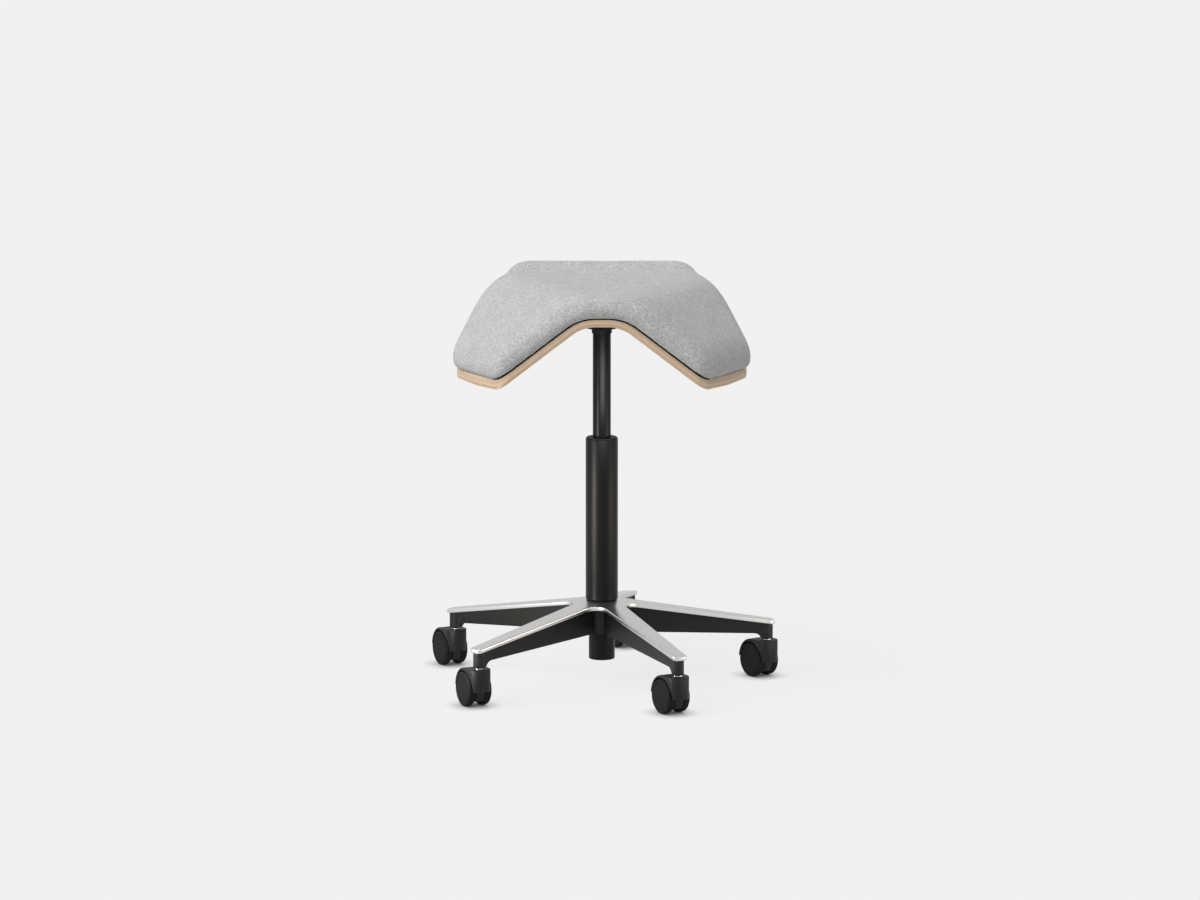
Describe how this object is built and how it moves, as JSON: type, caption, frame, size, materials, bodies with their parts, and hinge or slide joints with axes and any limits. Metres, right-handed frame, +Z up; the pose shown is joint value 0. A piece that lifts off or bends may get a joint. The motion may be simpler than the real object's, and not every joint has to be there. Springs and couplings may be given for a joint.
{
  "type": "saddle stool",
  "caption": "Height-adjustable saddle stool with a folded plywood seat, felt pad, gas column, star base and twin-wheel castors.",
  "frame": {"origin": "on the floor, on the axis of the column", "axes": "+Z up; the seat's front faces -Y; +X is to the right of a viewer who stands in front of the stool"},
  "size_m": [0.5446, 0.5592, 0.6406],
  "materials": {
    "felt": "light grey wool felt",
    "foam": "upholstery foam, hidden under the felt",
    "black_board": "thin black backing board",
    "plywood": "oak plywood with bare edges, matt lacquer",
    "black_metal": "black powder coat, semi-matt",
    "aluminium": "satin polished on top, black below",
    "steel": "bright zinc",
    "black_plastic": "black nylon",
    "rubber": "black rubber"
  },
  "bodies": {
    "base": {"star_base": "aluminium", "stand_tube": "black_metal", "guide_bush": "black_plastic", "bearing_lower_race": "steel", "bearing_cage": "black_plastic", "castor_1_stem": "steel", "castor_2_stem": "steel", "castor_3_stem": "steel", "castor_4_stem": "steel", "castor_5_stem": "steel"},
    "rod": {"piston_rod": "steel", "retaining_clip": "steel", "bearing_upper_race": "steel", "bump_stop": "rubber", "piston": "black_metal", "piston_ring": "rubber", "piston_nut": "steel"},
    "seat": {"lift_tube": "black_metal", "valve_body": "steel", "rod_gland": "black_plastic", "seat_plate": "black_metal", "seat_shell": "plywood", "cushion_board": "black_board", "cushion_cover": "felt", "cushion_foam": "foam", "lever_pin": "steel", "plate_screw_1": "steel", "plate_screw_2": "steel", "plate_screw_3": "steel", "plate_screw_4": "steel", "tee_nut_1": "steel", "tee_nut_2": "steel", "tee_nut_3": "steel", "tee_nut_4": "steel"},
    "lever": {"release_lever": "steel", "lever_grip": "black_plastic"},
    "valve_pin": {"release_pin": "steel"},
    "castor_1": {"castor_1_hood": "black_plastic", "castor_1_axle": "steel"},
    "castor_1_roller_a": {"castor_1_wheel_a": "black_plastic"},
    "castor_1_roller_b": {"castor_1_wheel_b": "black_plastic"},
    "castor_2": {"castor_2_hood": "black_plastic", "castor_2_axle": "steel"},
    "castor_2_roller_a": {"castor_2_wheel_a": "black_plastic"},
    "castor_2_roller_b": {"castor_2_wheel_b": "black_plastic"},
    "castor_3": {"castor_3_hood": "black_plastic", "castor_3_axle": "steel"},
    "castor_3_roller_a": {"castor_3_wheel_a": "black_plastic"},
    "castor_3_roller_b": {"castor_3_wheel_b": "black_plastic"},
    "castor_4": {"castor_4_hood": "black_plastic", "castor_4_axle": "steel"},
    "castor_4_roller_a": {"castor_4_wheel_a": "black_plastic"},
    "castor_4_roller_b": {"castor_4_wheel_b": "black_plastic"},
    "castor_5": {"castor_5_hood": "black_plastic", "castor_5_axle": "steel"},
    "castor_5_roller_a": {"castor_5_wheel_a": "black_plastic"},
    "castor_5_roller_b": {"castor_5_wheel_b": "black_plastic"}
  },
  "joints": [
    {"name": "seat_swivel", "type": "hinge", "parent": "base", "child": "rod", "pos_m": [0, 0, 0.1], "axis": [0, 0, 1], "continuous": true},
    {"name": "seat_lift", "type": "slide", "parent": "rod", "child": "seat", "axis": [0, 0, 1], "range_m": [-0.145, 0.055]},
    {"name": "lever_pull", "type": "hinge", "parent": "seat", "child": "lever", "pos_m": [-0.018, 0, 0.57389], "axis": [0, 1, 0], "range_deg": [0, 8], "stiffness_Nm_per_rad": 4},
    {"name": "valve_press", "type": "slide", "parent": "seat", "child": "valve_pin", "axis": [0, 0, -1], "range_m": [0, 0.0026]},
    {"name": "castor_1_swivel", "type": "hinge", "parent": "base", "child": "castor_1", "pos_m": [0.11507, -0.23354, 0.05], "axis": [0, 0, 1], "continuous": true},
    {"name": "castor_1_roll_a", "type": "hinge", "parent": "castor_1", "child": "castor_1_roller_a", "pos_m": [0.09422, -0.2218, 0.02667], "axis": [0.8616, 0.5075, 0], "continuous": true},
    {"name": "castor_1_roll_b", "type": "hinge", "parent": "castor_1", "child": "castor_1_roller_b", "pos_m": [0.1149, -0.20961, 0.02667], "axis": [0.8616, 0.5075, 0], "continuous": true},
    {"name": "castor_2_swivel", "type": "hinge", "parent": "base", "child": "castor_2", "pos_m": [0.25767, 0.03727, 0.05], "axis": [0, 0, 1], "continuous": true},
    {"name": "castor_2_roll_a", "type": "hinge", "parent": "castor_2", "child": "castor_2_roller_a", "pos_m": [0.23614, 0.04772, 0.02667], "axis": [0.829, 0.5592, 0], "continuous": true},
    {"name": "castor_2_roll_b", "type": "hinge", "parent": "castor_2", "child": "castor_2_roller_b", "pos_m": [0.25604, 0.06114, 0.02667], "axis": [0.829, 0.5592, 0], "continuous": true},
    {"name": "castor_3_swivel", "type": "hinge", "parent": "base", "child": "castor_3", "pos_m": [0.04418, 0.25657, 0.05], "axis": [0, 0, 1], "continuous": true},
    {"name": "castor_3_roll_a", "type": "hinge", "parent": "castor_3", "child": "castor_3_roller_a", "pos_m": [0.02365, 0.26886, 0.02667], "axis": [0.8746, 0.4848, 0], "continuous": true},
    {"name": "castor_3_roll_b", "type": "hinge", "parent": "castor_3", "child": "castor_3_roller_b", "pos_m": [0.04464, 0.2805, 0.02667], "axis": [0.8746, 0.4848, 0], "continuous": true},
    {"name": "castor_4_swivel", "type": "hinge", "parent": "base", "child": "castor_4", "pos_m": [-0.23036, 0.1213, 0.05], "axis": [0, 0, 1], "continuous": true},
    {"name": "castor_4_roll_a", "type": "hinge", "parent": "castor_4", "child": "castor_4_roller_a", "pos_m": [-0.25045, 0.1343, 0.02667], "axis": [0.891, 0.454, 0], "continuous": true},
    {"name": "castor_4_roll_b", "type": "hinge", "parent": "castor_4", "child": "castor_4_roller_b", "pos_m": [-0.22907, 0.14519, 0.02667], "axis": [0.891, 0.454, 0], "continuous": true},
    {"name": "castor_5_swivel", "type": "hinge", "parent": "base", "child": "castor_5", "pos_m": [-0.18655, -0.1816, 0.05], "axis": [0, 0, 1], "continuous": true},
    {"name": "castor_5_roll_a", "type": "hinge", "parent": "castor_5", "child": "castor_5_roller_a", "pos_m": [-0.20641, -0.16826, 0.02667], "axis": [0.8988, 0.4384, 0], "continuous": true},
    {"name": "castor_5_roll_b", "type": "hinge", "parent": "castor_5", "child": "castor_5_roller_b", "pos_m": [-0.18484, -0.15774, 0.02667], "axis": [0.8988, 0.4384, 0], "continuous": true}
  ],
  "couplings": [
    {"joint": "valve_press", "follows": "lever_pull", "m_per_rad": 0.018}
  ]
}
